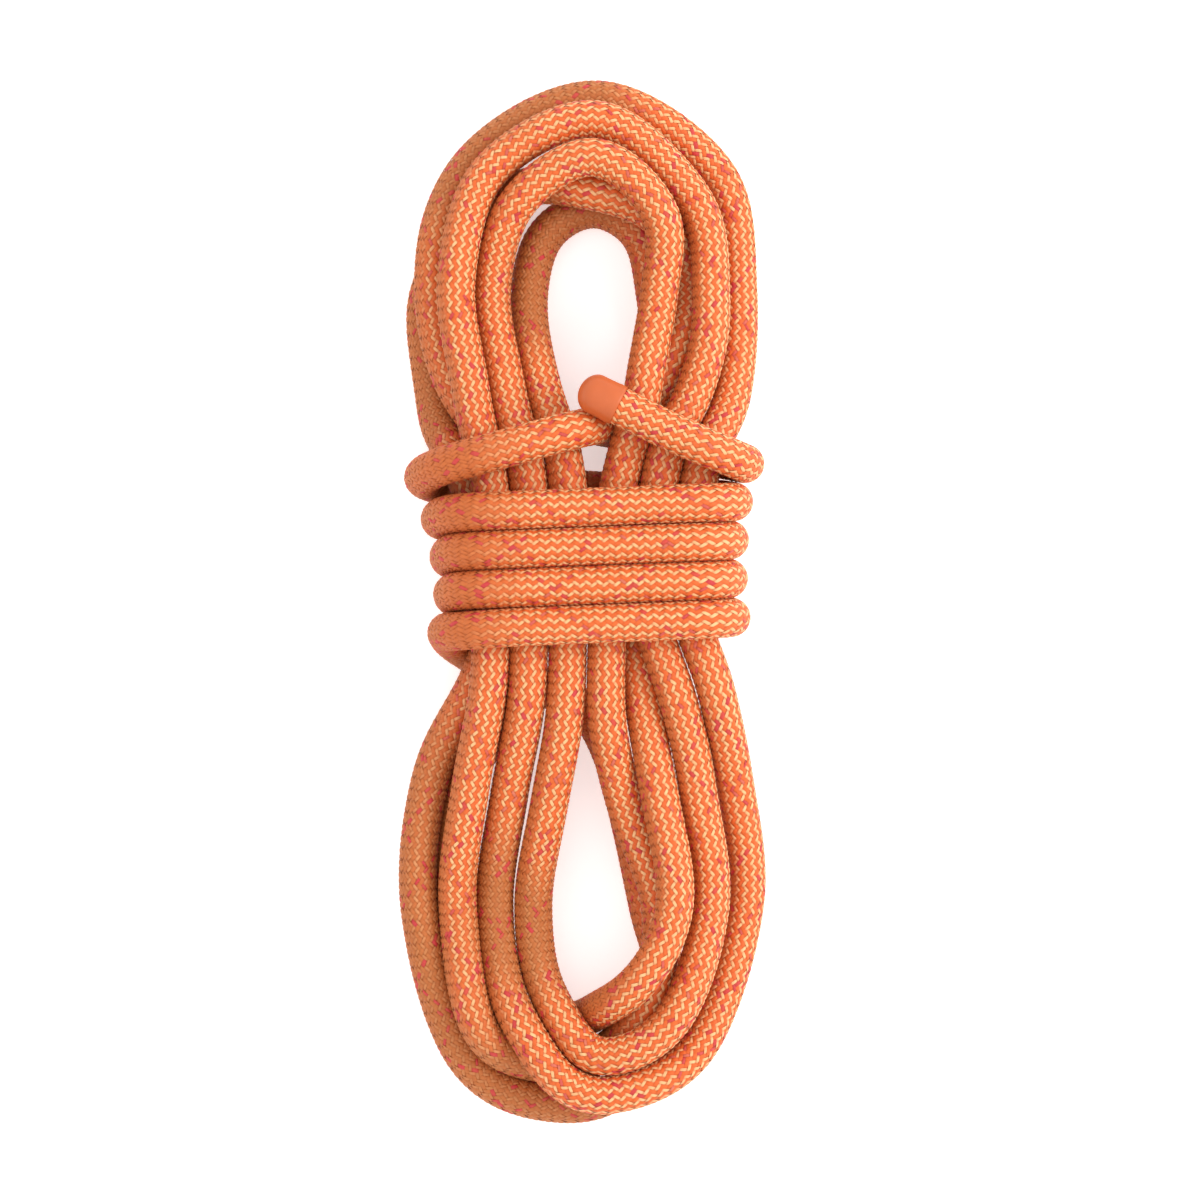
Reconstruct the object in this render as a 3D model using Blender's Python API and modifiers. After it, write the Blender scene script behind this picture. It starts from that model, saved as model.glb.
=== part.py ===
"""Dynamic climbing rope, tied into a hank: five loops bound by wraps round the waist.

The rope lies flat: +X across, +Y along the hank, +Z up from the floor. Route values are in
millimetres, and the finished parts are in metres.
"""
import bpy
import numpy as np
from math import cos, hypot, pi, radians, sin
from mathutils import Vector

MM = 0.001

# Driving dimensions, in millimetres.
ROPE_DIAMETER = 9.8       # sheath, over its flats and corners
ROUTE_ROPE = 9.8          # the rope that the route's points are drawn for; the route scales with it
SHEATH_WALL = 0.75
CORE_DIAMETER = ROPE_DIAMETER - 2 * SHEATH_WALL
INNER_STRANDS = 3
OUTER_PLACES = 8          # seven strands and the marker tape
STRAND_DIAMETER = 0.181 * CORE_DIAMETER     # one of the core's twisted strands
INNER_STRAND_RING = 0.120 * CORE_DIAMETER   # distance of those strands from the rope's axis
OUTER_STRAND_RING = 0.337 * CORE_DIAMETER
TAPE_SIZE = (0.133 * CORE_DIAMETER, 0.048 * CORE_DIAMETER)
JOINT_GAP = 0.3           # between pieces that meet
SQUARE_END = 1.6          # length of the straight run at each end of a stretch
CAP_DIAMETER = ROPE_DIAMETER + 1.4
CAP_LENGTH = 11.8
START_CAP_DIAMETER = ROPE_DIAMETER
START_CAP_LENGTH = 9.0

LANE_PITCH = 10.3         # between neighbouring strands of the bundle
STRAND_SPACING = 10.5     # least distance between two strands' centrelines
ROUTE_STEP = 4.0          # spacing of the settled route's points
FLOOR = 5.1               # height of a centreline that lies on the floor
WRAP_FRONT = 36.3         # height of a centreline that passes over the front

WRAP_TURNS = 4
WRAP_LEFT = -35.4
WRAP_RIGHT = 38.8
WRAP_CORNER = 10.4
WRAP_PITCH = 10.45
WRAP_FRONT_RISE = 3.8     # share of the pitch that the front pass climbs
FIRST_WRAP_Y = -8.0
WRAP_TOP = FIRST_WRAP_Y + WRAP_TURNS * WRAP_PITCH

BEND_STEP = 14.0          # most degrees between two rings of a tube
LONGEST_STEP = 20.0       # most millimetres between two rings
CAP_STEPS = 6
ORIGIN = (-0.614, -0.415, 0.2)  # moved to the hank's centre, on the floor

# Stations round the hank, anticlockwise from the right of the waist: a point on the inner
# edge of the bundle, and the way outwards there.
STATIONS = [
    (0.9, 0.0, 1, 0), (4.6, 38.0, 1, -0.05), (10.5, 58.0, 1, -0.10), (15.1, 84.0, 1, 0.05),
    (11.8, 97.5, 0.80, 0.6), (2.0, 102.0, 0.05, 1), (-6.5, 97.0, -0.72, 0.70),
    (-10.1, 84.0, -1, 0.08), (-7.4, 60.0, -1, -0.20), (-2.6, 38.0, -1, -0.15),
    (0.2, 0.0, -1, 0), (-0.6, -26.0, -1, 0.08), (-4.6, -56.0, -1, 0.22), (-9.3, -84.0, -1, 0.0),
    (-6.3, -102.5, -0.75, -0.66), (1.0, -109.5, 0, -1), (8.3, -102.5, 0.72, -0.70),
    (11.8, -84.0, 1, 0.03), (5.8, -56.0, 1, 0.2), (0.9, -28.0, 1, 0.1),
]

# Each loop's lane (0 is the innermost) and height at those stations.
LOOPS = [
    [(1.65, 15.5), (1.3, 15.5), (0.9, 13), (0.15, 7), (0, 5.1), (0, 5.1), (0, 5.1), (0, 8),
     (0, 18), (-0.22, 25.9), (0, 25.9), (-0.12, 25.9), (0, 20), (0, 11), (0.25, 11),
     (0.95, 15.5), (1.35, 20), (1.66, 18), (1.93, 21), (1.87, 25.9)],
    [(1.17, 25.9), (1.25, 25.9), (1.35, 22), (1.05, 16), (1.46, 15.5), (2.3, 15.5),
     (2.17, 18), (1.93, 24), (1.75, 25.9), (1.8, 25.9), (2, 25.9), (2, 25.9), (2.12, 21),
     (1.95, 15.5), (1.9, 14), (1.1, 5.1), (0.6, 12), (0.35, 15.5), (0, 18), (-0.1, 25.9)],
    [(0, 25.9), (0, 25.9), (0, 25.9), (0, 22), (0.55, 23), (1.25, 23), (1.05, 20),
     (0.98, 17), (0.85, 22), (0.8, 25.9), (1, 25.9), (0.95, 25.9), (1.08, 18), (1, 10),
     (1.3, 12), (1.85, 15.5), (2.3, 10), (2.6, 7), (2.95, 16), (2.86, 25.9)],
    [(2.17, 25.9), (2.2, 25.9), (2.35, 18), (2.1, 8), (2.5, 5.1), (2.9, 5.1), (2.7, 8),
     (2.5, 14), (2.3, 15.5), (1.9, 15.5), (1, 15.5), (1.4, 15.5), (2.45, 9), (2.2, 5.1),
     (1.15, 5.1), (0.15, 6), (0.2, 20), (0.7, 25.9), (0.95, 24), (0.95, 20.5)],
    [(0.6, 15.5), (0.6, 15.5), (0.65, 14), (0.8, 11), (0.55, 14), (0.4, 15.5), (1.5, 6),
     (2.66, 5.1), (2.75, 7), (2.6, 15.5), (2, 15.5), (2.45, 15.5), (3.05, 12), (2.95, 12),
     (2.6, 8), (2.1, 5.1), (1.2, 5.1), (0, 5.1), (0, 5.1)],
]

# From the last loop, under the waist, to the first wrap.
LEAD_IN = [(7.5, -43, 5.1), (1.0, -31, 5.1), (-11.5, -23.6, 5.1), (-24.5, -17.8, 5.1)]

# From the last wrap, with y from WRAP_TOP: over the left legs, down between the legs, behind
# the right legs, and back over them to the end.
FINISH = [
    (-34.0, -1.6, 8.4), (-39.3, 0.2, 15.0), (-40.6, 1.5, 24.0), (-37.0, 3.0, 32.4),
    (-29, 5.0, 36.6), (-18, 8.0, 36.8), (-7.5, 10.6, 36.1), (-0.5, 12.0, 31.6),
    (2.8, 12.6, 24.0), (3.6, 12.9, 16.0), (6.8, 12.9, 8.0), (14.0, 11.9, 5.1), (24, 8.7, 5.1),
    (33.0, 5.8, 5.9), (40.0, 4.0, 11.3), (42.4, 3.4, 20.5), (40.0, 4.3, 30.0),
    (33, 7.2, 35.8), (24.5, 10.9, 36.6), (16, 15.1, 36.6), (8.6, 18.8, 36.6),
]

COLOURS = {
    "sheath": (0.90, 0.30, 0.10, 1),
    "core": (0.86, 0.86, 0.82, 1),
    "tape": (0.80, 0.10, 0.16, 1),
    "cap": (0.72, 0.20, 0.06, 1),
}


def coil_points():
    """The loops' points, lane by lane round the stations."""
    points = []
    for loop in LOOPS:
        for (x, y, out_x, out_y), (lane, height) in zip(STATIONS, loop):
            reach = (lane + 0.5) * LANE_PITCH / hypot(out_x, out_y)
            points.append((x + out_x * reach, y + out_y * reach, height))
    return points


def wrap_section():
    """One wrap seen along +Y: a rounded rectangle from the left edge over the front."""
    half_width = (WRAP_RIGHT - WRAP_LEFT) / 2 - WRAP_CORNER
    half_height = (WRAP_FRONT - FLOOR) / 2 - WRAP_CORNER
    middle_x = (WRAP_LEFT + WRAP_RIGHT) / 2
    middle_z = (FLOOR + WRAP_FRONT) / 2
    section = []
    for side_x, side_z, start in ((-1, 1, 180), (1, 1, 90), (1, -1, 0), (-1, -1, -90)):
        for step in range(5):
            angle = radians(start - 90 * step / 4)
            x = middle_x + side_x * half_width + WRAP_CORNER * cos(angle)
            z = middle_z + side_z * half_height + WRAP_CORNER * sin(angle)
            section.append((x, z))
    return np.array(section)


def wrap_points():
    """The wraps climb the waist, a little on the front pass and more on the back pass."""
    section = wrap_section()
    sides = np.linalg.norm(np.diff(np.vstack([section, section[:1]]), axis=0), axis=1)
    half = sides.sum() / 2
    along = np.concatenate([[0], np.cumsum(sides)])[:-1]
    rise = np.interp(along, [0, half, 2 * half], [0, WRAP_FRONT_RISE, WRAP_PITCH])
    points = []
    for turn in range(WRAP_TURNS):
        for (x, z), climb in zip(section, rise):
            points.append((x, FIRST_WRAP_Y + turn * WRAP_PITCH + climb, z))
    return points


def finish_points():
    return [(x, y + WRAP_TOP, z) for x, y, z in FINISH]


def smooth_line(points, step):
    """A centripetal Catmull-Rom curve through the points, read off at even steps."""
    points = np.asarray(points, float)
    ends = [2 * points[0] - points[1]], [2 * points[-1] - points[-2]]
    control = np.vstack([ends[0], points, ends[1]])
    pieces = []
    for i in range(1, len(control) - 2):
        a, b, c, d = control[i - 1:i + 3]
        t0 = 0.0
        t1 = t0 + np.linalg.norm(b - a) ** 0.5
        t2 = t1 + np.linalg.norm(c - b) ** 0.5
        t3 = t2 + np.linalg.norm(d - c) ** 0.5
        t = np.linspace(t1, t2, 24, endpoint=False)[:, None]
        ab = (t1 - t) / (t1 - t0) * a + (t - t0) / (t1 - t0) * b
        bc = (t2 - t) / (t2 - t1) * b + (t - t1) / (t2 - t1) * c
        cd = (t3 - t) / (t3 - t2) * c + (t - t2) / (t3 - t2) * d
        abc = (t2 - t) / (t2 - t0) * ab + (t - t0) / (t2 - t0) * bc
        bcd = (t3 - t) / (t3 - t1) * bc + (t - t1) / (t3 - t1) * cd
        pieces.append((t2 - t) / (t2 - t1) * abc + (t - t1) / (t2 - t1) * bcd)
    return evenly(np.vstack(pieces + [points[-1:]]), step)


def evenly(line, step):
    """The same line with its points at even steps."""
    along = np.concatenate([[0], np.cumsum(np.linalg.norm(np.diff(line, axis=0), axis=1))])
    at = np.linspace(0, along[-1], int(round(along[-1] / step)) + 1)
    return np.stack([np.interp(at, along, line[:, k]) for k in range(3)], axis=1)


def settle(line, rounds=230):
    """Eases neighbouring strands apart until they clear each other."""
    line = line.copy()
    home = line.copy()
    index = np.arange(len(line))
    apart = np.abs(index[:, None] - index[None, :]) > round(26 / ROUTE_STEP)
    kernel = np.exp(-0.5 * (np.arange(-6, 7) / 2.6) ** 2)
    kernel /= kernel.sum()
    for turn in range(rounds):
        away = line[:, None, :] - line[None, :, :]
        distance = np.sqrt((away ** 2).sum(axis=2)) + 1e-9
        overlap = np.where(apart, np.clip(STRAND_SPACING - distance, 0, None), 0)
        push = (away * (overlap / distance)[:, :, None]).sum(axis=1)
        push *= 0.35 / np.sqrt(np.maximum(1, (overlap > 0).sum(axis=1)))[:, None]
        padded = np.pad(push, ((6, 6), (0, 0)), mode="edge")
        for k in range(3):
            line[:, k] += 1.6 * np.convolve(padded[:, k], kernel, "valid")
        if turn < rounds * 0.6:
            line += (home - line) * 0.004
        line[:, 2] = np.maximum(line[:, 2], FLOOR)
    return line


def rope_line():
    """The whole rope's centreline, drawn for ROUTE_ROPE."""
    points = coil_points() + LEAD_IN + wrap_points() + finish_points()
    return settle(smooth_line(points, ROUTE_STEP)) - np.array(ORIGIN)


def crossings(line):
    """Indices where the rope passes the middle of the waist, in order."""
    y = line[:, 1]
    legs = np.flatnonzero((y[:-1] < 0) != (y[1:] < 0))
    return legs[np.abs(line[legs, 0]) < 34]


def cut_points(line):
    """Where the stretches meet, all hidden inside the waist or behind it."""
    legs = [int(i) for i in crossings(line) if line[i, 2] > FLOOR + 4][:2 * len(LOOPS) - 1]
    x, z = line[:, 0], line[:, 2]
    behind = np.flatnonzero((x[:-1] > 0) & (x[1:] <= 0) & (z[1:] < FLOOR + 1.5))
    behind = [int(i) for i in behind if -35 < line[i, 1] < WRAP_TOP + 1.2 and i > legs[-1]]
    finish = np.flatnonzero((x > 12) & (z < FLOOR + 1) & (line[:, 1] > WRAP_TOP + 6.2))
    return legs, behind, int(finish[-1])


def thin_out(line):
    """Keeps the points a tube needs: at each small bend, within reach, and both near each end."""
    kept = [0, 1]
    turned = 0.0
    ways = np.diff(line, axis=0)
    ways /= np.linalg.norm(ways, axis=1)[:, None]
    for i in range(2, len(line) - 3):
        turned += np.degrees(np.arccos(np.clip(ways[i - 1] @ ways[i], -1, 1)))
        far = np.linalg.norm(line[i + 1] - line[kept[-1]]) > LONGEST_STEP
        if turned >= BEND_STEP or far:
            kept.append(i)
            turned = 0.0
    return line[kept[1:] + [len(line) - 2]]


def square_end(line, end, way):
    """Two points that end a stretch square to the rope, half a gap short of the joint."""
    return [line[end] + way * JOINT_GAP / 2, line[end] + way * SQUARE_END]


def stretch(line, start, end):
    """The points of one stretch of rope, with ends that face its neighbours squarely."""
    first = unit(line[start + 1] - line[max(start - 1, 0)])
    last = unit(line[end - 1] - line[min(end + 1, len(line) - 1)])
    inner = thin_out(line[start:end + 1])
    return np.vstack([square_end(line, start, first), inner, square_end(line, end, last)[::-1]])


def material(name):
    made = bpy.data.materials.new(name)
    made.use_nodes = True
    shader = made.node_tree.nodes["Principled BSDF"]
    kind = next((key for key in ("core", "tape", "cap") if key in name), "sheath")
    shader.inputs["Base Color"].default_value = COLOURS[kind]
    shader.inputs["Roughness"].default_value = 0.35 if kind == "cap" else 0.85
    return made


def tube(name, line, diameter, sides=8, hollow_wall=0.0):
    """A tube along the line, with a flat side down and closed ends."""
    data = bpy.data.curves.new(name, "CURVE")
    data.dimensions = "3D"
    data.twist_mode = "MINIMUM"
    data.bevel_depth = diameter / 2 * MM
    data.bevel_resolution = sides // 2 - 2
    data.use_fill_caps = hollow_wall == 0
    spline = data.splines.new("POLY")
    spline.points.add(len(line) - 1)
    for point, position in zip(spline.points, line):
        point.co = (*(position * MM), 1)
        point.tilt = pi / sides
    made = bpy.data.objects.new(name, data)
    if hollow_wall:
        shell = made.modifiers.new("wall", "SOLIDIFY")
        shell.thickness = hollow_wall * MM
        shell.offset = -1
        shell.use_rim = True
    data.materials.append(material(name))
    parts.objects.link(made)
    return made


def frames(line):
    """Two directions across the line at each point, carried along it without twist."""
    runs = np.diff(line, axis=0)
    runs /= np.linalg.norm(runs, axis=1)[:, None]
    ways = np.vstack([runs[:1], runs[:-1] + runs[1:], runs[-1:]])
    ways /= np.linalg.norm(ways, axis=1)[:, None]
    side = np.cross(ways[0], (0, 1, 0))
    across = []
    for way in ways:
        side = side - way * (side @ way)
        side /= np.linalg.norm(side)
        across.append((side.copy(), np.cross(way, side)))
    return across


def beside(line, distance, angle):
    """The line moved sideways, at an angle about the rope's axis."""
    moved = []
    for point, (side, up) in zip(line, frames(line)):
        moved.append(point + distance * (side * cos(angle) + up * sin(angle)))
    return np.array(moved)


def core(line):
    """The strands and the marker tape inside the rope's end."""
    for i in range(INNER_STRANDS):
        angle = 2 * pi * i / INNER_STRANDS
        tube(f"core_strand_{i + 1}", beside(line, INNER_STRAND_RING, angle), STRAND_DIAMETER, 6)
    for i in range(OUTER_PLACES - 1):
        angle = 2 * pi * (i + 0.5) / OUTER_PLACES
        number = INNER_STRANDS + i + 1
        tube(f"core_strand_{number}", beside(line, OUTER_STRAND_RING, angle), STRAND_DIAMETER, 6)
    tape(line)


def tape(line):
    """The marker tape: a flat strip in the last outer place."""
    angle = 2 * pi * (OUTER_PLACES - 0.5) / OUTER_PLACES
    strip = beside(line, OUTER_STRAND_RING, angle)
    corners = []
    for point, (side, up) in zip(strip, frames(line)):
        out = side * cos(angle) + up * sin(angle)
        along = up * cos(angle) - side * sin(angle)
        for a, b in ((-1, -1), (1, -1), (1, 1), (-1, 1)):
            corner = point + along * a * TAPE_SIZE[0] / 2 + out * b * TAPE_SIZE[1] / 2
            corners.append(tuple(corner * MM))
    last = len(corners) - 4
    faces = [(0, 1, 2, 3), (last + 3, last + 2, last + 1, last)]
    for ring in range(len(strip) - 1):
        for k in range(4):
            a = 4 * ring + k
            b = 4 * ring + (k + 1) % 4
            faces.append((a, a + 4, b + 4, b))
    data = bpy.data.meshes.new("marker_tape")
    data.from_pydata(corners, [], faces)
    data.materials.append(material("marker_tape"))
    parts.objects.link(bpy.data.objects.new("marker_tape", data))


def end_cap(name, end, way, diameter, length):
    """A sealed rope end: a plug with a round nose, turned about the rope's axis."""
    radius = diameter / 2
    nose = min(radius * 0.8, length * 0.6)
    profile = [(0.0, length)]
    for step in range(1, CAP_STEPS + 1):
        angle = pi / 2 * (1 - step / CAP_STEPS)
        profile.append((radius * cos(angle), length - nose + nose * sin(angle)))
    profile += [(radius, 0.0), (0.0, 0.0)]
    data = bpy.data.meshes.new(name)
    corners = [(x * MM, 0, z * MM) for x, z in profile]
    data.from_pydata(corners, [(i, i + 1) for i in range(len(corners) - 1)], [])
    data.materials.append(material(name))
    made = bpy.data.objects.new(name, data)
    screw = made.modifiers.new("turn", "SCREW")
    screw.steps = 16
    screw.render_steps = 16
    screw.use_merge_vertices = True
    screw.merge_threshold = 0.00001
    made.location = end * MM
    made.rotation_mode = "QUATERNION"
    made.rotation_quaternion = Vector(way).to_track_quat("Z", "Y")
    parts.objects.link(made)


def unit(vector):
    return vector / np.linalg.norm(vector)


def build():
    line = rope_line()
    legs, behind, finish = cut_points(line)
    line = line * ROPE_DIAMETER / ROUTE_ROPE
    edges = [0] + legs + behind + [finish, len(line) - 1]
    names = []
    for loop in range(len(LOOPS)):
        names += [f"upper_bight_{loop + 1}", f"lower_bight_{loop + 1}"]
    names += [f"wrap_turn_{turn + 1}" for turn in range(WRAP_TURNS)]
    names += ["finishing_turn", "tail_sheath"]
    for name, start, end in zip(names, edges, edges[1:]):
        points = stretch(line, start, end)
        if name == "tail_sheath":
            tube(name, points, ROPE_DIAMETER, hollow_wall=SHEATH_WALL)
            core(points)
        else:
            tube(name, points, ROPE_DIAMETER)
    end_cap("tail_end_cap", line[-1], unit(line[-1] - line[-2]), CAP_DIAMETER, CAP_LENGTH)
    end_cap("start_end_cap", line[0], unit(line[0] - line[1]), START_CAP_DIAMETER,
            START_CAP_LENGTH)


for old in list(bpy.data.objects):
    bpy.data.objects.remove(old)
parts = bpy.data.collections.new("climbing_rope")
bpy.context.scene.collection.children.link(parts)
build()
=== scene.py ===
"""Dynamic climbing rope tied in a flat hank: its braided sheath, underlay, core and sealed ends.

+X across the hank, +Y along it, +Z up from the floor. Route values are in millimetres.
"""
import bpy
import numpy as np
from math import cos, hypot, pi, radians, sin
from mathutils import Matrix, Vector


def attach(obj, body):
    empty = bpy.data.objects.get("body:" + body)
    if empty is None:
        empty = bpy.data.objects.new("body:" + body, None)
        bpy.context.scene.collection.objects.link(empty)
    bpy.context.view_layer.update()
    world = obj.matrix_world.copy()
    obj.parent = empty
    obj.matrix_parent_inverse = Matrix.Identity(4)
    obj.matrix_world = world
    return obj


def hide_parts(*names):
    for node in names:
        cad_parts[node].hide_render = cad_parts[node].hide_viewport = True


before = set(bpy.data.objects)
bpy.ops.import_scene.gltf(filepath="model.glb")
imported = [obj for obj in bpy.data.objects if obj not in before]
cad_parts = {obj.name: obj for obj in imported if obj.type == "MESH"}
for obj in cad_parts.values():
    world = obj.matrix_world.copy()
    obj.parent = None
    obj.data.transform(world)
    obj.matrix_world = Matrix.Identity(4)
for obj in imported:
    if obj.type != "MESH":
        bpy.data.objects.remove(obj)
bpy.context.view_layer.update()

MM = 0.001
ROPE_DIAMETER = 9.8
LANE_PITCH = 10.3         # between neighbouring strands of the bundle
STRAND_SPACING = 10.5     # that settling aims for between two strands' centrelines
ROUTE_STEP = 4.0          # spacing of the settled route's points
SPAN_POINTS = 24          # worked out between two drawn points before they are evened out
FLOOR = 5.1               # height of a centreline that lies on the floor
WRAP_FRONT = 36.3         # height of a centreline that passes over the front
WAIST_HALF_WIDTH = 34     # legs that cross the waist are nearer the middle than this

# How the strands ease apart.
SETTLE_ROUNDS = 230
SAME_STRAND = 26          # points nearer than this along the rope don't push each other
PUSH_SHARE = 0.35         # of an overlap, moved in one round
PUSH_REACH = 6            # points either way that a push is spread over
PUSH_SPREAD = 2.6         # standard deviation of that, in points
PUSH_GAIN = 1.6           # makes up for the spreading
HOME_PULL = 0.004         # share of the way back to the drawn route, in one round
HOME_ROUNDS = 0.6         # share of the rounds that pull back

WRAP_TURNS = 4
WRAP_LEFT = -35.4
WRAP_RIGHT = 38.8
WRAP_CORNER = 10.4        # radius of the wraps' section at its corners
WRAP_CORNER_STEPS = 4
WRAP_PITCH = 10.45
WRAP_FRONT_RISE = 3.8     # part of the pitch that the front pass climbs
FIRST_WRAP_Y = -8.0
WRAP_TOP = FIRST_WRAP_Y + WRAP_TURNS * WRAP_PITCH

ORIGIN = (-0.614, -0.415, 0.2)  # moved to the hank's centre, on the floor

# Stations round the hank, anticlockwise from the right of the waist: a point on the inner
# edge of the bundle, and the way outwards there.
STATIONS = [
    (0.9, 0.0, 1, 0), (4.6, 38.0, 1, -0.05), (10.5, 58.0, 1, -0.10), (15.1, 84.0, 1, 0.05),
    (11.8, 97.5, 0.80, 0.6), (2.0, 102.0, 0.05, 1), (-6.5, 97.0, -0.72, 0.70),
    (-10.1, 84.0, -1, 0.08), (-7.4, 60.0, -1, -0.20), (-2.6, 38.0, -1, -0.15),
    (0.2, 0.0, -1, 0), (-0.6, -26.0, -1, 0.08), (-4.6, -56.0, -1, 0.22), (-9.3, -84.0, -1, 0.0),
    (-6.3, -102.5, -0.75, -0.66), (1.0, -109.5, 0, -1), (8.3, -102.5, 0.72, -0.70),
    (11.8, -84.0, 1, 0.03), (5.8, -56.0, 1, 0.2), (0.9, -28.0, 1, 0.1),
]

# Each loop's lane (0 is the innermost) and height at those stations.
LOOPS = [
    [(1.65, 15.5), (1.3, 15.5), (0.9, 13), (0.15, 7), (0, 5.1), (0, 5.1), (0, 5.1), (0, 8),
     (0, 18), (-0.22, 25.9), (0, 25.9), (-0.12, 25.9), (0, 20), (0, 11), (0.25, 11),
     (0.95, 15.5), (1.35, 20), (1.66, 18), (1.93, 21), (1.87, 25.9)],
    [(1.17, 25.9), (1.25, 25.9), (1.35, 22), (1.05, 16), (1.46, 15.5), (2.3, 15.5),
     (2.17, 18), (1.93, 24), (1.75, 25.9), (1.8, 25.9), (2, 25.9), (2, 25.9), (2.12, 21),
     (1.95, 15.5), (1.9, 14), (1.1, 5.1), (0.6, 12), (0.35, 15.5), (0, 18), (-0.1, 25.9)],
    [(0, 25.9), (0, 25.9), (0, 25.9), (0, 22), (0.55, 23), (1.25, 23), (1.05, 20),
     (0.98, 17), (0.85, 22), (0.8, 25.9), (1, 25.9), (0.95, 25.9), (1.08, 18), (1, 10),
     (1.3, 12), (1.85, 15.5), (2.3, 10), (2.6, 7), (2.95, 16), (2.86, 25.9)],
    [(2.17, 25.9), (2.2, 25.9), (2.35, 18), (2.1, 8), (2.5, 5.1), (2.9, 5.1), (2.7, 8),
     (2.5, 14), (2.3, 15.5), (1.9, 15.5), (1, 15.5), (1.4, 15.5), (2.45, 9), (2.2, 5.1),
     (1.15, 5.1), (0.15, 6), (0.2, 20), (0.7, 25.9), (0.95, 24), (0.95, 20.5)],
    [(0.6, 15.5), (0.6, 15.5), (0.65, 14), (0.8, 11), (0.55, 14), (0.4, 15.5), (1.5, 6),
     (2.66, 5.1), (2.75, 7), (2.6, 15.5), (2, 15.5), (2.45, 15.5), (3.05, 12), (2.95, 12),
     (2.6, 8), (2.1, 5.1), (1.2, 5.1), (0, 5.1), (0, 5.1)],
]

# From the last loop, under the waist, to the first wrap.
LEAD_IN = [(7.5, -43, 5.1), (1.0, -31, 5.1), (-11.5, -23.6, 5.1), (-24.5, -17.8, 5.1)]

# From the last wrap, with y from WRAP_TOP: over the left legs, down between the legs, behind
# the right legs, and back over them to the end.
FINISH = [
    (-34.0, -1.6, 8.4), (-39.3, 0.2, 15.0), (-40.6, 1.5, 24.0), (-37.0, 3.0, 32.4),
    (-29, 5.0, 36.6), (-18, 8.0, 36.8), (-7.5, 10.6, 36.1), (-0.5, 12.0, 31.6),
    (2.8, 12.6, 24.0), (3.6, 12.9, 16.0), (6.8, 12.9, 8.0), (14.0, 11.9, 5.1), (24, 8.7, 5.1),
    (33.0, 5.8, 5.9), (40.0, 4.0, 11.3), (42.4, 3.4, 20.5), (40.0, 4.3, 30.0),
    (33, 7.2, 35.8), (24.5, 10.9, 36.6), (16, 15.1, 36.6), (8.6, 18.8, 36.6),
]


def coil_points():
    """The loops' points, lane by lane round the stations."""
    points = []
    for loop in LOOPS:
        for (x, y, out_x, out_y), (lane, height) in zip(STATIONS, loop):
            reach = (lane + 0.5) * LANE_PITCH / hypot(out_x, out_y)
            points.append((x + out_x * reach, y + out_y * reach, height))
    return points


def wrap_section():
    """One wrap seen along +Y: a rounded rectangle from the left edge over the front."""
    half_width = (WRAP_RIGHT - WRAP_LEFT) / 2 - WRAP_CORNER
    half_height = (WRAP_FRONT - FLOOR) / 2 - WRAP_CORNER
    middle_x = (WRAP_LEFT + WRAP_RIGHT) / 2
    middle_z = (FLOOR + WRAP_FRONT) / 2
    section = []
    for side_x, side_z, start in ((-1, 1, 180), (1, 1, 90), (1, -1, 0), (-1, -1, -90)):
        for step in range(WRAP_CORNER_STEPS + 1):
            angle = radians(start - 90 * step / WRAP_CORNER_STEPS)
            x = middle_x + side_x * half_width + WRAP_CORNER * cos(angle)
            z = middle_z + side_z * half_height + WRAP_CORNER * sin(angle)
            section.append((x, z))
    return np.array(section)


def wrap_points():
    """The wraps climb the waist, a little on the front pass and more on the back pass."""
    section = wrap_section()
    sides = np.linalg.norm(np.diff(np.vstack([section, section[:1]]), axis=0), axis=1)
    half = sides.sum() / 2
    along = np.concatenate([[0], np.cumsum(sides)])[:-1]
    rise = np.interp(along, [0, half, 2 * half], [0, WRAP_FRONT_RISE, WRAP_PITCH])
    points = []
    for turn in range(WRAP_TURNS):
        for (x, z), climb in zip(section, rise):
            points.append((x, FIRST_WRAP_Y + turn * WRAP_PITCH + climb, z))
    return points


def finish_points():
    """The finishing turn and the tail, placed on top of the wraps."""
    return [(x, y + WRAP_TOP, z) for x, y, z in FINISH]


def smooth_line(points, step):
    """A centripetal Catmull-Rom curve through the points, read off at even steps."""
    points = np.asarray(points, float)
    before = 2 * points[0] - points[1]
    after = 2 * points[-1] - points[-2]
    control = np.vstack([before, points, after])
    pieces = []
    for i in range(1, len(control) - 2):
        a, b, c, d = control[i - 1:i + 3]
        t0 = 0.0
        t1 = t0 + np.linalg.norm(b - a) ** 0.5
        t2 = t1 + np.linalg.norm(c - b) ** 0.5
        t3 = t2 + np.linalg.norm(d - c) ** 0.5
        t = np.linspace(t1, t2, SPAN_POINTS, endpoint=False)[:, None]
        ab = (t1 - t) / (t1 - t0) * a + (t - t0) / (t1 - t0) * b
        bc = (t2 - t) / (t2 - t1) * b + (t - t1) / (t2 - t1) * c
        cd = (t3 - t) / (t3 - t2) * c + (t - t2) / (t3 - t2) * d
        abc = (t2 - t) / (t2 - t0) * ab + (t - t0) / (t2 - t0) * bc
        bcd = (t3 - t) / (t3 - t1) * bc + (t - t1) / (t3 - t1) * cd
        pieces.append((t2 - t) / (t2 - t1) * abc + (t - t1) / (t2 - t1) * bcd)
    return evenly(np.vstack(pieces + [points[-1:]]), step)


def evenly(line, step):
    """The same line with its points at even steps."""
    along = np.concatenate([[0], np.cumsum(np.linalg.norm(np.diff(line, axis=0), axis=1))])
    at = np.linspace(0, along[-1], int(round(along[-1] / step)) + 1)
    return np.stack([np.interp(at, along, line[:, k]) for k in range(3)], axis=1)


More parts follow.
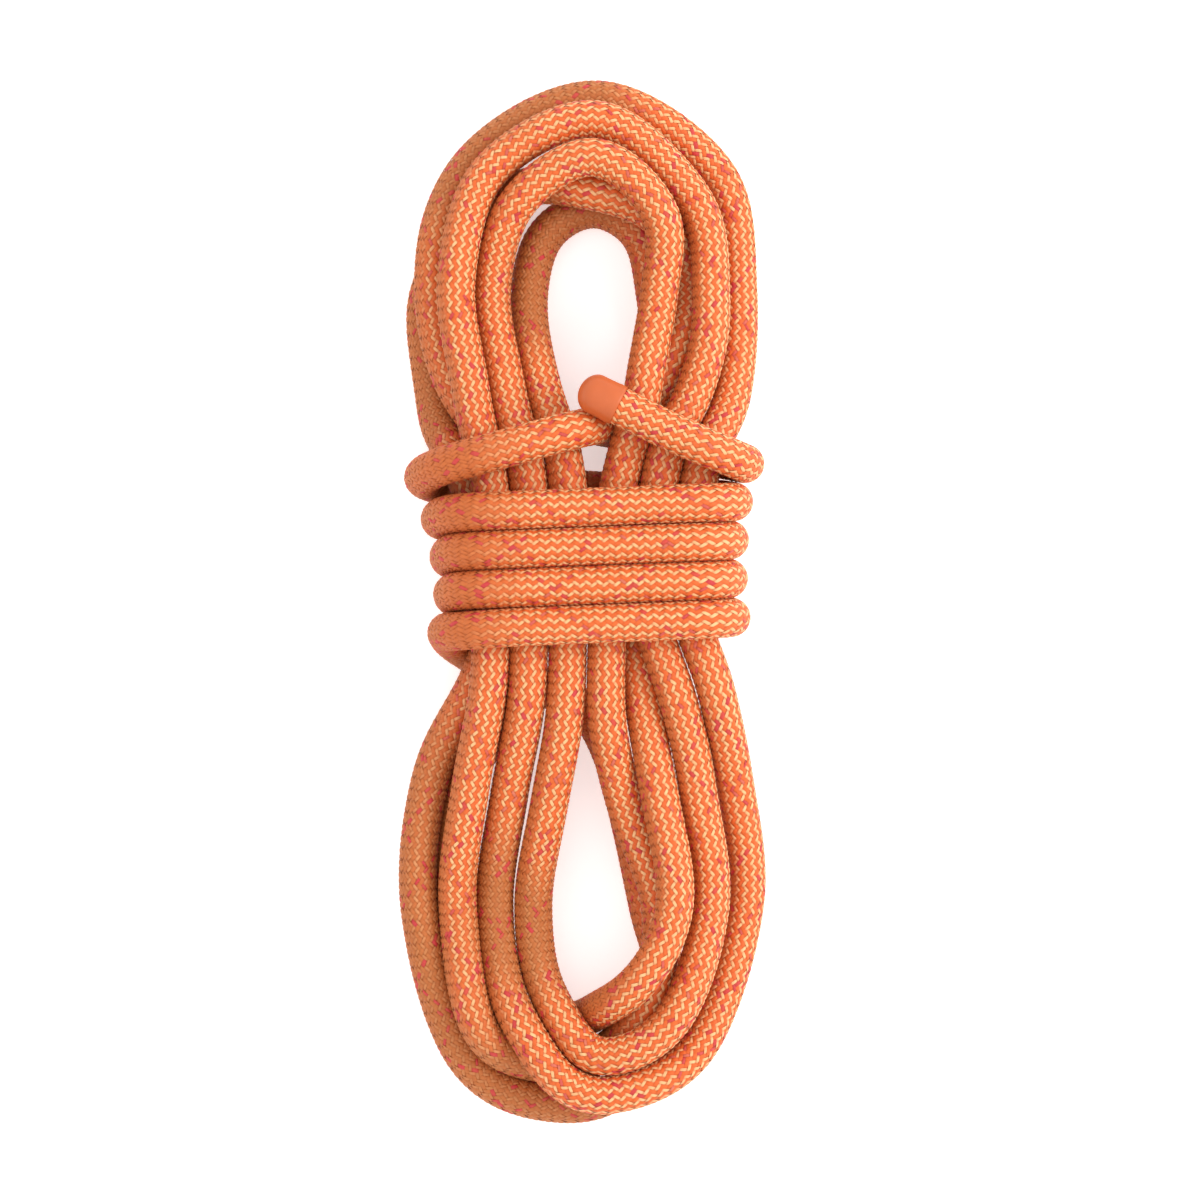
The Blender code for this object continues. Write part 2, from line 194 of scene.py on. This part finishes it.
def smoothing_weights(reach, spread):
    """Weights that smooth a row of points, reach points either way."""
    weights = np.exp(-0.5 * (np.arange(-reach, reach + 1) / spread) ** 2)
    return weights / weights.sum()


def settle(line):
    """Eases neighbouring strands apart until they clear each other."""
    line = line.copy()
    home = line.copy()
    index = np.arange(len(line))
    apart = np.abs(index[:, None] - index[None, :]) > round(SAME_STRAND / ROUTE_STEP)
    weights = smoothing_weights(PUSH_REACH, PUSH_SPREAD)
    for turn in range(SETTLE_ROUNDS):
        away = line[:, None, :] - line[None, :, :]
        distance = np.sqrt((away ** 2).sum(axis=2)) + 1e-9
        overlap = np.where(apart, np.clip(STRAND_SPACING - distance, 0, None), 0)
        push = (away * (overlap / distance)[:, :, None]).sum(axis=1)
        push *= PUSH_SHARE / np.sqrt(np.maximum(1, (overlap > 0).sum(axis=1)))[:, None]
        padded = np.pad(push, ((PUSH_REACH, PUSH_REACH), (0, 0)), mode="edge")
        for k in range(3):
            line[:, k] += PUSH_GAIN * np.convolve(padded[:, k], weights, "valid")
        if turn < SETTLE_ROUNDS * HOME_ROUNDS:
            line += (home - line) * HOME_PULL
        line[:, 2] = np.maximum(line[:, 2], FLOOR)
    return line


def rope_line():
    """The whole rope's centreline, in millimetres, from the hidden end to the tail's end."""
    points = coil_points() + LEAD_IN + wrap_points() + finish_points()
    return settle(smooth_line(points, ROUTE_STEP)) - np.array(ORIGIN)


def crossings(line):
    """Indices where the rope passes the middle of the waist, in order."""
    y = line[:, 1]
    legs = np.flatnonzero((y[:-1] < 0) != (y[1:] < 0))
    return legs[np.abs(line[legs, 0]) < WAIST_HALF_WIDTH]


def cut_points(line):
    """Where the stretches meet, all hidden inside the waist or behind it."""
    x, y, z = line.T
    last_leg = 2 * len(LOOPS) - 1
    above_lead_in = FLOOR + 4
    legs = [int(i) for i in crossings(line) if z[i] > above_lead_in][:last_leg]
    # The wraps are cut where they pass behind the middle, the lead-in's one included.
    behind = np.flatnonzero((x[:-1] > 0) & (x[1:] <= 0) & (z[1:] < FLOOR + 1.5))
    behind = [int(i) for i in behind if -35 < y[i] < WRAP_TOP + 1.2 and i > legs[-1]]
    # The last cut is behind the right legs, just before the tail comes round the side.
    finish = np.flatnonzero((x > 12) & (z < FLOOR + 1) & (y > WRAP_TOP + 6.2))
    return legs, behind, int(finish[-1])


FINE_STEP = 0.5            # spacing of the smooth centreline, in millimetres
LINE_REACH = 10            # points either way that it is smoothed over
LINE_SPREAD = 4.0          # standard deviation of that, in points

# The braid. Its lattice is unrolled: carriers i lean one way and carriers j the other.
CARRIERS = 26              # bobbins each way
BRAID_ANGLE = radians(37)  # between a yarn and the rope's axis
CARRIER_PITCH = pi * ROPE_DIAMETER / CARRIERS
CELL_LENGTH = CARRIER_PITCH / np.tan(BRAID_ANGLE)
WEAVE_REPEAT = 4           # cells: two over, two under
SPARE_ROWS = 3             # looked at beyond each end of a stretch
TRACER_CARRIERS = (5, 18)
TRACER_SHOWS = 0.75        # share of a tracer carrier's floats that are dyed
STRAY_TRACERS = 0.015      # share of all other floats that are

# One float, the part of a yarn that lies on top. s runs along it and t across, from -1 to 1.
FLOAT_LENGTH_STEPS = 5
FLOAT_WIDTH_STEPS = 4
FLOAT_REACH = 1.10         # half its length, in cells
PALE_HALF_WIDTH = 0.41     # in carrier pitches
DYED_HALF_WIDTH = 0.58
FLOAT_TAPER = 0.22         # share of the width lost at its ends
CREST = 5.30               # radius at its top, in millimetres
DIP = 4.95                 # radius where it goes under
DYED_DROP = 0.13           # share of the height that dyed yarns lie lower
LEAST_HEIGHT = 0.02        # keeps the yarns above the floor
UNDERLAY_RADIUS = 4.93     # of the plain tube beneath the floats
UNDERLAY_STRIDE = 4        # points of the line for each of the underlay's

# The flat map of a stretch, for baking.
UV_ROWS = 3                # the unrolled strip is folded this many times
UV_END_MARGIN = 0.02
UV_SIDE_MARGIN = 0.05
UV_HALF_LENGTH = 0.95      # of a float, in cells, less than its own so that none overlap
UV_HALF_WIDTH = 0.46

# Painted light: the photo is duller where the rope faces left, on its low strands and at the
# wraps' left end, so there the orange gets painted shade and the pale yarns' painted highlight
# fades out.
# Each pair says where a change starts and over how much it happens. Facing is the x of the
# way outwards, and the rest are in millimetres.
PALE_BY_FACING = (-0.72, 0.34)
SHADE_BY_FACING = (0.35, 0.5)
LOW_BY_SIDE = (-20, 14)
LOW_BY_HEIGHT = (0, 6)
LOW_HEIGHT = 17            # strands below this are low
LOW_EXTRA_HEIGHT = 5       # added to that towards the left
LOW_EXTRA = (0, 14)        # how far to the left
WRAP_BY_SIDE = (13, 18)
FACING_SHADE = 0.75
WRAP_SHADE = 0.6
LOW_SHADE = 0.9
LOW_PALE_SHADE = 0.85

# Sealed ends, in millimetres: how far inside the radius, and how far along.
CAP_RIM = [(1.3, -0.5), (0.30, -0.6), (0.08, -0.35), (0, 0.1), (-0.02, 0.9), (0.08, 2.2),
           (0.14, 4.2)]
CAP_NOSE = 0.8             # length of the rounded nose, as a share of the radius
CAP_NOSE_STEPS = 12
CAP_TIP_RADIUS = 0.02
CAP_SIDES = 48
TAIL_CAP = (5.6, 11.0)     # radius and length
START_CAP = (4.9, 9.0)

# The camera looks straight down, and its view is in metres.
CAMERA_HEIGHT = 2.0
SENSOR_WIDTH = 36.0        # in millimetres
VIEW_WIDTH = 0.3288
VIEW_CENTRE = (0.0047, 0.0005)
FLOOR_HALF = 3             # of the staged floor's width, in metres


def unit(vector):
    return vector / np.linalg.norm(vector)


# ---------------------------------------------------------------- materials

def new_material(name):
    made = bpy.data.materials.new(name)
    made.use_nodes = True
    tree = made.node_tree
    return made, tree, tree.nodes["Principled BSDF"]


def node(tree, kind, **values):
    made = tree.nodes.new(kind)
    for key, value in values.items():
        setattr(made, key, value)
    return made


def mix_colour(tree, factor, first, second, blend="MIX"):
    """A colour mix. factor, first and second are sockets or plain values."""
    mix = node(tree, "ShaderNodeMix", data_type="RGBA", blend_type=blend)
    for index, value in ((0, factor), (6, first), (7, second)):
        if isinstance(value, bpy.types.NodeSocket):
            tree.links.new(value, mix.inputs[index])
        else:
            mix.inputs[index].default_value = value
    return mix.outputs[2]


def multiply_add(tree, value, factor, offset):
    made = node(tree, "ShaderNodeMath", operation="MULTIPLY_ADD")
    tree.links.new(value, made.inputs[0])
    made.inputs[1].default_value = factor
    made.inputs[2].default_value = offset
    return made.outputs[0]


def noise(tree, scale, detail, vector=None):
    made = node(tree, "ShaderNodeTexNoise")
    made.inputs["Scale"].default_value = scale
    made.inputs["Detail"].default_value = detail
    if vector is None:
        vector = node(tree, "ShaderNodeTexCoord").outputs["Object"]
    tree.links.new(vector, made.inputs["Vector"])
    return made.outputs["Fac"]


def ramp(tree, factor, low, high):
    """factor stretched so that low becomes 0 and high becomes 1."""
    made = node(tree, "ShaderNodeMapRange")
    made.inputs["From Min"].default_value = low
    made.inputs["From Max"].default_value = high
    tree.links.new(factor, made.inputs["Value"])
    return made.outputs["Result"]


def bump(tree, shader, height, strength, distance):
    made = node(tree, "ShaderNodeBump")
    made.inputs["Strength"].default_value = strength
    made.inputs["Distance"].default_value = distance
    tree.links.new(height, made.inputs["Height"])
    tree.links.new(made.outputs["Normal"], shader.inputs["Normal"])


ORANGE = (0.86, 0.152, 0.020, 1)
DEEP_ORANGE = (0.78, 0.108, 0.014, 1)
SHADED_ORANGE = (0.55, 0.165, 0.034, 1)
# Pale yarn colour that is partly a painted highlight on the floats' crowns.
PALE_YARN_AND_HIGHLIGHT = (1.0, 0.59, 0.27, 1)
TRACER = (0.66, 0.042, 0.046, 1)
WHITE_YARN = (0.80, 0.79, 0.74, 1)
WHITE = (1, 1, 1, 1)
WARM_SHEEN = (1.0, 0.62, 0.42, 1)
WORN = (0.93, 0.90, 0.88, 1)          # multiplies the dullest yarns
BETWEEN_FILAMENTS = (0.74, 0.70, 0.68, 1)
# The underlay's orange, painted darker than the floats as shade in the gaps.
UNDERLAY_SHADE_DARKER = (0.50, 0.075, 0.014, 1)
UNDERLAY_SHADE_LIGHTER = (0.70, 0.110, 0.020, 1)
CAP_DARK = (0.56, 0.112, 0.024, 1)
CAP_LIGHT = (0.64, 0.132, 0.030, 1)
FLOOR_DARK = (0.90, 0.90, 0.90, 1)
FLOOR_LIGHT = (0.92, 0.92, 0.92, 1)


def yarn_material():
    """Braided sheath yarn: its colour by carrier, the pale carriers partly painted highlight,
    with painted shade on the orange, fine filaments along each float, soft sheen.
    """
    made, tree, shader = new_material("sheath_yarn")
    tone = node(tree, "ShaderNodeAttribute", attribute_name="tone")
    split = node(tree, "ShaderNodeSeparateColor")
    tree.links.new(tone.outputs["Color"], split.inputs["Color"])
    pale, tracer, vary = split.outputs
    mottle = ramp(tree, noise(tree, scale=900.0, detail=2.0), low=0.35, high=0.65)
    orange = mix_colour(tree, mottle, DEEP_ORANGE, ORANGE)
    orange = mix_colour(tree, 0.72, orange, ORANGE)  # only a little of the mottle shows
    # Painted shade: the orange turns brown by the tone's alpha.
    orange = mix_colour(tree, tone.outputs["Alpha"], orange, SHADED_ORANGE)
    # The pale carriers: pale yarn and painted highlight, by the tone's first share.
    base = mix_colour(tree, pale, orange, PALE_YARN_AND_HIGHLIGHT)
    base = mix_colour(tree, tracer, base, TRACER)
    base = mix_colour(tree, 1.0, base, mix_colour(tree, vary, WORN, WHITE), "MULTIPLY")
    uv = node(tree, "ShaderNodeUVMap", uv_map="strand")
    stretch = node(tree, "ShaderNodeMapping")
    stretch.inputs["Scale"].default_value = (7.0, 0.6, 1.0)
    tree.links.new(uv.outputs["UV"], stretch.inputs["Vector"])
    filaments = noise(tree, scale=1.0, detail=2.0, vector=stretch.outputs["Vector"])
    lines = ramp(tree, filaments, low=0.35, high=0.62)
    streak = mix_colour(tree, lines, BETWEEN_FILAMENTS, WHITE)
    streaked = mix_colour(tree, 1.0, base, streak, "MULTIPLY")
    base = mix_colour(tree, 0.6, base, streaked)
    tree.links.new(base, shader.inputs["Base Color"])
    shader.inputs["Roughness"].default_value = 0.62
    shader.inputs["Sheen Weight"].default_value = 0.08
    shader.inputs["Sheen Roughness"].default_value = 0.45
    shader.inputs["Sheen Tint"].default_value = WARM_SHEEN
    bump(tree, shader, filaments, strength=0.5, distance=0.00012)
    return made


def underlay_material():
    """The crossing yarns beneath the floats, seen only as the dark of the gaps, their orange
    painted darker as the shade there.
    """
    made, tree, shader = new_material("sheath_underlay")
    fibre = noise(tree, scale=1500.0, detail=3.0)
    base = mix_colour(tree, fibre, UNDERLAY_SHADE_DARKER, UNDERLAY_SHADE_LIGHTER)
    tree.links.new(base, shader.inputs["Base Color"])
    shader.inputs["Roughness"].default_value = 0.85
    bump(tree, shader, fibre, strength=0.5, distance=0.0001)
    return made


def cap_material():
    """Dipped and heat-sealed end: smooth, slightly uneven orange plastic."""
    made, tree, shader = new_material("sealed_end")
    broad = ramp(tree, noise(tree, scale=140.0, detail=3.0), low=0.3, high=0.7)
    tree.links.new(mix_colour(tree, broad, CAP_DARK, CAP_LIGHT), shader.inputs["Base Color"])
    uneven = noise(tree, scale=600.0, detail=2.0)
    rough = multiply_add(tree, uneven, factor=0.25, offset=0.32)
    tree.links.new(rough, shader.inputs["Roughness"])
    bump(tree, shader, noise(tree, scale=420.0, detail=4.0), strength=0.25, distance=0.0003)
    return made


def core_material(name, colour):
    """Plain fibrous yarn or tape inside the rope."""
    made, tree, shader = new_material(name)
    fibre = noise(tree, scale=2600.0, detail=2.0)
    darker = tuple(0.78 * x for x in colour[:3]) + (1,)
    tree.links.new(mix_colour(tree, fibre, darker, colour), shader.inputs["Base Color"])
    shader.inputs["Roughness"].default_value = 0.8
    shader.inputs["Sheen Weight"].default_value = 0.2
    bump(tree, shader, fibre, strength=0.4, distance=0.0001)
    return made


def floor_material():
    """Pale studio floor that glows a little, so that it renders as white as the photo's."""
    made, tree, shader = new_material("studio_floor")
    tone = mix_colour(tree, noise(tree, scale=6.0, detail=2.0), FLOOR_DARK, FLOOR_LIGHT)
    tree.links.new(tone, shader.inputs["Base Color"])
    shader.inputs["Roughness"].default_value = 0.9
    shader.inputs["Emission Color"].default_value = WHITE
    shader.inputs["Emission Strength"].default_value = 0.5
    return made


# ---------------------------------------------------------------- route

class Line:
    """The smooth centreline in millimetres, with two directions across it that don't twist."""

    def __init__(self, points):
        self.at = evenly(smooth_line(points, FINE_STEP), FINE_STEP)
        weights = smoothing_weights(LINE_REACH, LINE_SPREAD)
        for k in range(3):
            padded = np.pad(self.at[:, k], LINE_REACH, mode="reflect", reflect_type="odd")
            self.at[:, k] = np.convolve(padded, weights, "valid")
        ways = np.gradient(self.at, axis=0)
        self.way = ways / np.linalg.norm(ways, axis=1)[:, None]
        steps = np.linalg.norm(np.diff(self.at, axis=0), axis=1)
        self.along = np.concatenate([[0], np.cumsum(steps)])
        side = unit(np.cross(self.way[0], (0, 1, 0.3)))
        sides = []
        for way in self.way:
            side = unit(side - way * (side @ way))
            sides.append(side)
        self.side = np.array(sides)
        self.up = np.cross(self.way, self.side)

    def length(self):
        return self.along[-1]

    def read(self, values, at):
        """Values stored at the line's points, read off at any distance along it."""
        return np.stack([np.interp(at, self.along, values[:, k]) for k in range(3)], axis=-1)

    def place(self, angle, at, radius):
        """Points round the rope and the ways outwards there, from the angle about its axis,
        the distance along it and the radius."""
        side = self.read(self.side, at)
        up = self.read(self.up, at)
        out = side * np.cos(angle)[..., None] + up * np.sin(angle)[..., None]
        return self.read(self.at, at) + out * radius[..., None], out

    def nearest(self, point):
        """How far along the line its nearest point lies."""
        return self.along[np.argmin(((self.at - point) ** 2).sum(axis=1))]


# ---------------------------------------------------------------- meshes

def quad_mesh(name, corners, faces, material):
    """A smooth mesh of quads from arrays, in millimetres."""
    data = bpy.data.meshes.new(name)
    data.vertices.add(len(corners))
    data.vertices.foreach_set("co", (corners * MM).astype(np.float32).ravel())
    data.loops.add(faces.size)
    data.loops.foreach_set("vertex_index", faces.astype(np.int32).ravel())
    data.polygons.add(len(faces))
    starts = np.arange(0, faces.size, faces.shape[1], dtype=np.int32)
    data.polygons.foreach_set("loop_start", starts)
    data.polygons.foreach_set("use_smooth", np.full(len(faces), True))
    data.update(calc_edges=True)
    data.validate()
    data.materials.append(material)
    made = bpy.data.objects.new(name, data)
    hank.objects.link(made)
    return made


def add_uv(data, name, values):
    """A UV map from one value for each vertex."""
    layer = data.uv_layers.new(name=name)
    index = np.empty(len(data.loops), dtype=np.int32)
    data.loops.foreach_get("vertex_index", index)
    layer.data.foreach_set("uv", values[index].astype(np.float32).ravel())


def floats_near(start, end):
    """The braid's floats round one stretch and a little past it: family, and carriers i and j.

    Family 1 lies along j and family -1 along i. The two cross in every cell, and which of
    them is on top there repeats every four cells.
    """
    first = int(2 * start / CELL_LENGTH) - SPARE_ROWS
    last = int(2 * end / CELL_LENGTH) + SPARE_ROWS
    found = []
    for family, on_top in ((1, 0), (-1, 2)):
        for row in range(first, last + 1):
            for column in range(2 * CARRIERS):
                i = (column - row) // 2
                j = (column + row) // 2
                if (row + column) % 2 == 0 and (j - i) % WEAVE_REPEAT == on_top:
                    found.append((family, i, j))
    return np.array(found)


def lattice(ci, cj, di, dj):
    """Angle round the rope and distance along it, from a cell's centre and an offset in cells."""
    gi = ci[:, None] + di
    gj = cj[:, None] + dj
    return (gi + gj) / 2 * 2 * pi / CARRIERS, (gj - gi) / 2 * CELL_LENGTH


def change(value, start, width):
    """0 up to start, then straight up to 1 over the width."""
    return np.clip((value - start) / width, 0, 1)


def painted_light(corners, out, wrapped):
    """Painted light: how far the pale yarns show as painted highlight, and how far the orange
    gets painted shade, by facing, by low height towards the left and at the wraps' left end.
    """
    x, z = corners[..., 0], corners[..., 2]
    facing = out[..., 0]
    lit = change(facing, *PALE_BY_FACING)
    shade = FACING_SHADE * change(-facing, *SHADE_BY_FACING)
    low_height = LOW_HEIGHT + LOW_EXTRA_HEIGHT * change(-x, *LOW_EXTRA)
    low = change(-x, *LOW_BY_SIDE) * change(low_height - z, *LOW_BY_HEIGHT)
    if wrapped:
        left = change(-x, *WRAP_BY_SIDE)
        lit = lit * (1 - left)
        shade = np.maximum(shade, WRAP_SHADE * left)
    # Low strands on the left lose their painted highlight and get painted shade.
    return lit * (1 - LOW_PALE_SHADE * low), np.maximum(shade, LOW_SHADE * low)


def folded_strip(angle, at, start, end):
    """The unrolled sheath, cut into rows that fill a square."""
    turn = angle / (2 * pi)
    turn = turn - np.floor(turn.mean(axis=1, keepdims=True))
    share = (at - start) / (end - start) * UV_ROWS
    row = np.clip(np.floor(share.mean(axis=1, keepdims=True)), 0, UV_ROWS - 1)
    u = UV_END_MARGIN + (1 - 2 * UV_END_MARGIN) * (share - row)
    v = (row + UV_SIDE_MARGIN + (1 - 2 * UV_SIDE_MARGIN) * turn) / UV_ROWS
    return np.stack([u, v], axis=-1)


def float_faces(forward):
    """The quads of every float, wound the other way where it isn't forward."""
    faces = []
    for a in range(FLOAT_LENGTH_STEPS - 1):
        for b in range(FLOAT_WIDTH_STEPS - 1):
            k = a * FLOAT_WIDTH_STEPS + b
            faces.append((k, k + FLOAT_WIDTH_STEPS, k + FLOAT_WIDTH_STEPS + 1, k + 1))
    faces = np.array(faces)
    tiles = np.where(forward[:, None, None], faces[None], faces[None, :, ::-1])
    first_corner = np.arange(len(forward)) * FLOAT_LENGTH_STEPS * FLOAT_WIDTH_STEPS
    return (tiles + first_corner[:, None, None]).reshape(-1, 4)


def add_tone_and_painted_light(data, carrier, pale, s, lit, shade, rng):
    """Each float's colour for the sheath's material: pale share with its painted highlight,
    tracer, variation and painted shade.
    """
    count = len(carrier)
    tone = np.zeros((count, len(s), 4))
    paleness = (pale * rng.uniform(0.8, 1.0, count))[:, None]
    # Pale share, shown as painted highlight only where lit.
    tone[..., 0] = paleness * lit * (1 - 0.6 * np.abs(s) ** 6)
    lucky = rng.uniform(0, 1, count)
    tracer = np.isin(carrier % CARRIERS, TRACER_CARRIERS) & (lucky < TRACER_SHOWS)
    tracer |= lucky < STRAY_TRACERS
    tone[..., 1] = (tracer * rng.uniform(0.7, 1.0, count))[:, None]
    tone[..., 2] = rng.uniform(0, 1, count)[:, None]
    # Painted shade.
    tone[..., 3] = shade
    layer = data.attributes.new("tone", "FLOAT_COLOR", "POINT")
    layer.data.foreach_set("color", tone.astype(np.float32).ravel())


def braid(name, start, end, rng):
    """One stretch of sheath: each yarn's float is a rounded patch that dives under others."""
    family, i, j = floats_near(start, end).T
    # A float covers two cells: along j for one family, along i for the other.
    ci = np.where(family == 1, i, i - 0.5)
    cj = np.where(family == 1, j + 0.5, j)
    middle = (cj - ci) / 2 * CELL_LENGTH
    inside = (middle >= start) & (middle < end)
    family, i, j, ci, cj = family[inside], i[inside], j[inside], ci[inside], cj[inside]
    count = len(ci)
    along_j = family == 1
    carrier = np.where(along_j, i, j)
    pale = carrier % 2 == 0

    s, t = (steps.ravel() for steps in np.meshgrid(
        np.linspace(-1, 1, FLOAT_LENGTH_STEPS), np.linspace(-1, 1, FLOAT_WIDTH_STEPS),
        indexing="ij"))
    half = np.where(pale, PALE_HALF_WIDTH, DYED_HALF_WIDTH)[:, None]
    length = np.tile(FLOAT_REACH * s, (count, 1))
    width = half * t * (1 - FLOAT_TAPER * np.abs(s) ** 3)
    first = along_j[:, None]
    angle, at = lattice(ci, cj, np.where(first, width, length), np.where(first, length, width))
    # Flat along most of the float and steep at its two ends, and rounded across.
    rise = (1 - np.abs(s) ** 2.6) * (0.35 + 0.65 * np.sqrt(1 - (0.94 * t) ** 2))
    height = (rng.uniform(0.92, 1.0, count) - np.where(pale, 0.0, DYED_DROP))[:, None]
    radius = DIP + (CREST - DIP) * rise * height
    corners, out = line.place(angle, np.clip(at, start, end), radius)
    corners[..., 2] = np.maximum(corners[..., 2], LEAST_HEIGHT)

    made = quad_mesh(name, corners.reshape(-1, 3), float_faces(along_j), YARN)
    # Painted highlight and painted shade, from facing, height and place.
    lit, shade = painted_light(corners, out, "wrap" in name or "finishing" in name)
    add_tone_and_painted_light(made.data, carrier, pale, s, lit, shade, rng)
    seed = rng.uniform(0, 40, (count, 1))
    strand = np.stack([np.tile(t, (count, 1)) + seed, np.tile(s, (count, 1)) * 2 + seed], axis=-1)
    add_uv(made.data, "strand", strand.reshape(-1, 2))
    flat_width, flat_length = UV_HALF_WIDTH * t, UV_HALF_LENGTH * s
    flat = lattice(ci, cj, np.where(first, flat_width, flat_length),
                   np.where(first, flat_length, flat_width))
    add_uv(made.data, "OFBake", folded_strip(*flat, start, end).reshape(-1, 2))
    return made


def revolve(name, profile, origin, way, material):
    """A surface turned about the rope's axis, from (radius, height) pairs."""
    way = unit(way)
    side = unit(np.cross(way, (0.3, 0.5, 1)))
    up = np.cross(way, side)
    angle = np.linspace(0, 2 * pi, CAP_SIDES, endpoint=False)
    rings = []
    for radius, height in profile:
        ring = origin + way * height
        out = np.cos(angle)[:, None] * side + np.sin(angle)[:, None] * up
        rings.append(ring + out * radius)
    corners = np.vstack(rings)
    here = np.arange(CAP_SIDES)
    beside = (here + 1) % CAP_SIDES
    faces = []
    for ring in range(len(profile) - 1):
        a = ring * CAP_SIDES
        b = a + CAP_SIDES
        faces.append(np.stack([a + here, a + beside, b + beside, b + here], 1))
    return quad_mesh(name, corners, np.vstack(faces), material)


def cap_profile(radius, length):
    """Rim, barrel and rounded nose of a dipped end, from the rope outwards."""
    profile = [(radius - inset, height) for inset, height in CAP_RIM]
    barrel = profile[-1][0]
    nose = radius * CAP_NOSE
    for step in range(CAP_NOSE_STEPS + 1):
        angle = pi / 2 * step / CAP_NOSE_STEPS
        profile.append((max(barrel * cos(angle), CAP_TIP_RADIUS),
                        length - nose + nose * sin(angle)))
    return profile


def tube_curve(name, points, radius, material):
    """A tube that stays a curve of one open spline."""
    data = bpy.data.curves.new(name, "CURVE")
    data.dimensions = "3D"
    data.twist_mode = "MINIMUM"
    data.bevel_depth = radius * MM
    data.bevel_resolution = 6
    data.use_fill_caps = True
    spline = data.splines.new("POLY")
    spline.points.add(len(points) - 1)
    flat = np.hstack([points * MM, np.ones((len(points), 1))])
    spline.points.foreach_set("co", flat.astype(np.float32).ravel())
    data.materials.append(material)
    made = bpy.data.objects.new(name, data)
    hank.objects.link(made)
    return made


# ---------------------------------------------------------------- the rope

hank = bpy.data.collections.new("hank")
bpy.context.scene.collection.children.link(hank)
route = rope_line()
legs, behind, finish = cut_points(route)
marks = [0] + legs + behind + [finish, len(route) - 1]
line = Line(route)
edges = [line.nearest(route[mark]) for mark in marks]
edges[0], edges[-1] = 0.0, line.length()
names = []
for loop in range(len(LOOPS)):
    names += [f"upper_bight_{loop + 1}", f"lower_bight_{loop + 1}"]
names += [f"wrap_turn_{turn + 1}" for turn in range(WRAP_TURNS)]
names += ["finishing_turn", "tail_sheath"]

camera_data = bpy.data.cameras.new("camera")
camera_data.sensor_width = SENSOR_WIDTH
camera_data.lens = SENSOR_WIDTH * CAMERA_HEIGHT / VIEW_WIDTH
camera = bpy.data.objects.new("camera", camera_data)
camera.location = (*VIEW_CENTRE, CAMERA_HEIGHT)
bpy.context.scene.collection.objects.link(camera)
bpy.context.scene.camera = camera

YARN = yarn_material()
UNDERLAY = underlay_material()
CAP = cap_material()
rng = np.random.default_rng(7)

for name, start, end in zip(names, edges, edges[1:]):
    piece = braid(f"braid_{name}", start, end, rng)
    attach(piece, "root")
    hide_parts(name)

underlay = tube_curve("rope_underlay", line.at[::UNDERLAY_STRIDE], UNDERLAY_RADIUS, UNDERLAY)
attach(underlay, "root")
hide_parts(*names)

for name, at, way, size in (
        ("tail_end_cap", line.at[-1], line.way[-1], TAIL_CAP),
        ("start_end_cap", line.at[0], -line.way[0], START_CAP)):
    piece = revolve(f"sealed_{name}", cap_profile(*size), at, way, CAP)
    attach(piece, "root")
    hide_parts(name)

# The core strands and the tape keep their CAD shapes.
for name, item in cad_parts.items():
    if name.startswith("core_strand") or name == "marker_tape":
        colour = TRACER if name == "marker_tape" else WHITE_YARN
        item.data.materials.clear()
        item.data.materials.append(core_material(name + "_yarn", colour))

# ---------------------------------------------------------------- studio

floor_data = bpy.data.meshes.new("floor")
floor_corners = [(-FLOOR_HALF, -FLOOR_HALF, 0), (FLOOR_HALF, -FLOOR_HALF, 0),
                 (FLOOR_HALF, FLOOR_HALF, 0), (-FLOOR_HALF, FLOOR_HALF, 0)]
floor_data.from_pydata(floor_corners, [], [(0, 1, 2, 3)])
floor_data.materials.append(floor_material())
floor = bpy.data.objects.new("floor", floor_data)
bpy.context.scene.collection.objects.link(floor)


def area_light(name, place, size, power):
    """A square light in watts and metres, pointed at the hank."""
    data = bpy.data.lights.new(name, "AREA")
    data.size = size
    data.energy = power
    made = bpy.data.objects.new(name, data)
    made.location = place
    aim = Vector((0, 0, 0.02)) - Vector(place)
    made.rotation_euler = aim.to_track_quat("-Z", "Y").to_euler()
    bpy.context.scene.collection.objects.link(made)


area_light("key", place=(1.15, 0.35, 0.95), size=0.6, power=9)
area_light("top", place=(0.0, 0.0, 2.6), size=2.4, power=6)

world = bpy.data.worlds.new("studio")
world.use_nodes = True
background = world.node_tree.nodes["Background"]
background.inputs["Color"].default_value = WHITE
background.inputs["Strength"].default_value = 1.04
bpy.context.scene.world = world
bpy.context.scene.view_settings.view_transform = "Standard"
